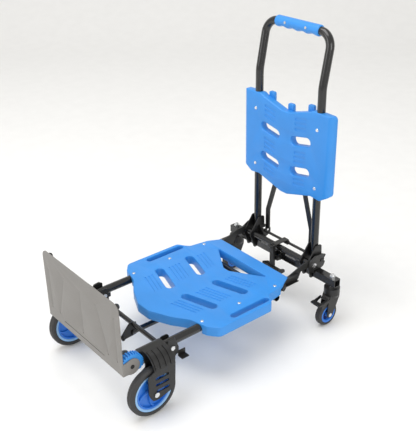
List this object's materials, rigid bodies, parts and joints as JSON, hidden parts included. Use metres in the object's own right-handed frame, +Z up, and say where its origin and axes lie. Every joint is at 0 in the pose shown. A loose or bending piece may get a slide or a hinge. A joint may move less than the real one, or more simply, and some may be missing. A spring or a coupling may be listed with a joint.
{
  "type": "folding platform cart",
  "caption": "Folding platform cart with a moulded deck on tube rails, a hinged toe plate with folding side wheels, and a folding loop handle carrying swivel casters and a back panel.",
  "frame": {"origin": "on the floor under the middle of the object's box, with the cart upright on its four wheels", "axes": "+Z up, -Y towards the toe plate, +Y towards the handle, +X to the left of a person who pushes the cart"},
  "size_m": [0.502, 0.818, 0.915],
  "materials": {
    "black_tube": "gloss black",
    "black_steel": "satin black",
    "grey_steel": "satin grey",
    "dark_plate": "satin dark grey",
    "blue_plastic": "fine texture",
    "hub_plastic": "smooth",
    "tyre": "matte",
    "rubber": "matte",
    "zinc": "bright zinc"
  },
  "bodies": {
    "base_frame": {"base_rail_left": "black_tube", "base_rail_right": "black_tube", "front_cross_tube": "black_tube", "rear_cross_tube": "black_tube", "centre_rail": "black_tube", "centre_gussets": "black_steel", "rail_saddles": "black_steel", "saddle_bolts": "zinc", "deck": "blue_plastic", "deck_screws": "zinc", "hinge_arm_left": "dark_plate", "hinge_arm_right": "dark_plate", "arm_bolts": "black_steel", "toe_hinge_lugs": "black_steel"},
    "toe_plate": {"toe_plate": "grey_steel", "toe_cams": "blue_plastic", "toe_pivots": "black_steel", "toe_bumpers": "rubber"},
    "handle": {"handle_legs": "black_tube", "handle_uppers": "black_tube", "handle_corners": "black_tube", "handle_bar": "black_tube", "grip": "blue_plastic", "grip_screws": "zinc", "back_panel": "blue_plastic", "panel_screws": "zinc", "brace_bars": "black_steel", "brace_cross_tube": "black_tube", "rear_beam": "black_tube", "foot_brackets": "black_steel", "sector_plates": "dark_plate", "hinge_tube": "black_tube", "hinge_bolts": "zinc", "brace_feet": "black_steel", "latch_springs": "zinc", "pedal_bracket": "black_steel", "caster_kingpins": "zinc"},
    "latch": {"latch_rod": "black_steel"},
    "pedal": {"release_pedal": "black_steel"},
    "wheel_bracket_left": {"wheel_bracket_left": "black_steel", "front_axle_left": "zinc"},
    "front_wheel_left": {"front_hub_left": "hub_plastic", "front_tyre_left": "tyre"},
    "lock_lever_left": {"lock_lever_left": "black_steel"},
    "caster_left": {"caster_fork_left": "black_steel", "caster_axle_left": "zinc"},
    "caster_wheel_left": {"caster_hub_left": "hub_plastic", "caster_tyre_left": "tyre"},
    "brake_left": {"brake_lever_left": "black_steel"},
    "wheel_bracket_right": {"wheel_bracket_right": "black_steel", "front_axle_right": "zinc"},
    "front_wheel_right": {"front_hub_right": "hub_plastic", "front_tyre_right": "tyre"},
    "lock_lever_right": {"lock_lever_right": "black_steel"},
    "caster_right": {"caster_fork_right": "black_steel", "caster_axle_right": "zinc"},
    "caster_wheel_right": {"caster_hub_right": "hub_plastic", "caster_tyre_right": "tyre"},
    "brake_right": {"brake_lever_right": "black_steel"}
  },
  "joints": [
    {"name": "toe_plate_fold", "type": "hinge", "parent": "base_frame", "child": "toe_plate", "pos_m": [0, -0.379, 0.168], "axis": [-1, 0, 0], "range_deg": [0, 90]},
    {"name": "handle_fold", "type": "hinge", "parent": "base_frame", "child": "handle", "pos_m": [0, 0.332, 0.182], "axis": [1, 0, 0], "range_deg": [-90, 90]},
    {"name": "latch_slide", "type": "slide", "parent": "handle", "child": "latch", "axis": [0, 1, 0], "range_m": [0, 0.0125]},
    {"name": "pedal_press", "type": "hinge", "parent": "handle", "child": "pedal", "pos_m": [0, 0.318, 0.148], "axis": [-1, 0, 0], "range_deg": [0, 12], "stiffness_Nm_per_rad": 0.6, "springref_deg": -11.46},
    {"name": "wheel_fold_left", "type": "hinge", "parent": "base_frame", "child": "wheel_bracket_left", "pos_m": [0.169, -0.3, 0.168], "axis": [0, 1, 0], "range_deg": [0, 90]},
    {"name": "front_wheel_spin_left", "type": "hinge", "parent": "wheel_bracket_left", "child": "front_wheel_left", "pos_m": [0.208, -0.334, 0.075], "axis": [1, 0, 0], "continuous": true},
    {"name": "wheel_lock_left", "type": "hinge", "parent": "base_frame", "child": "lock_lever_left", "pos_m": [0.188, -0.247, 0.163], "axis": [1, 0, 0], "range_deg": [0, 12]},
    {"name": "caster_swivel_left", "type": "hinge", "parent": "handle", "child": "caster_left", "pos_m": [0.226, 0.35, 0.09], "axis": [0, 0, 1], "continuous": true},
    {"name": "caster_spin_left", "type": "hinge", "parent": "caster_left", "child": "caster_wheel_left", "pos_m": [0.226, 0.328, 0.04], "axis": [1, 0, 0], "continuous": true},
    {"name": "caster_brake_left", "type": "hinge", "parent": "caster_left", "child": "brake_left", "pos_m": [0.226, 0.316, 0.0965], "axis": [1, 0, 0], "range_deg": [0, 5]},
    {"name": "wheel_fold_right", "type": "hinge", "parent": "base_frame", "child": "wheel_bracket_right", "pos_m": [-0.169, -0.3, 0.168], "axis": [0, -1, 0], "range_deg": [0, 90]},
    {"name": "front_wheel_spin_right", "type": "hinge", "parent": "wheel_bracket_right", "child": "front_wheel_right", "pos_m": [-0.208, -0.334, 0.075], "axis": [1, 0, 0], "continuous": true},
    {"name": "wheel_lock_right", "type": "hinge", "parent": "base_frame", "child": "lock_lever_right", "pos_m": [-0.188, -0.247, 0.163], "axis": [1, 0, 0], "range_deg": [0, 12]},
    {"name": "caster_swivel_right", "type": "hinge", "parent": "handle", "child": "caster_right", "pos_m": [-0.226, 0.35, 0.09], "axis": [0, 0, -1], "continuous": true},
    {"name": "caster_spin_right", "type": "hinge", "parent": "caster_right", "child": "caster_wheel_right", "pos_m": [-0.226, 0.328, 0.04], "axis": [1, 0, 0], "continuous": true},
    {"name": "caster_brake_right", "type": "hinge", "parent": "caster_right", "child": "brake_right", "pos_m": [-0.226, 0.316, 0.0965], "axis": [1, 0, 0], "range_deg": [0, 5]}
  ],
  "couplings": [
    {"joint": "wheel_fold_left", "follows": "toe_plate_fold", "ratio": 1},
    {"joint": "wheel_fold_right", "follows": "toe_plate_fold", "ratio": 1},
    {"joint": "latch_slide", "follows": "pedal_press", "m_per_rad": 0.0573}
  ]
}
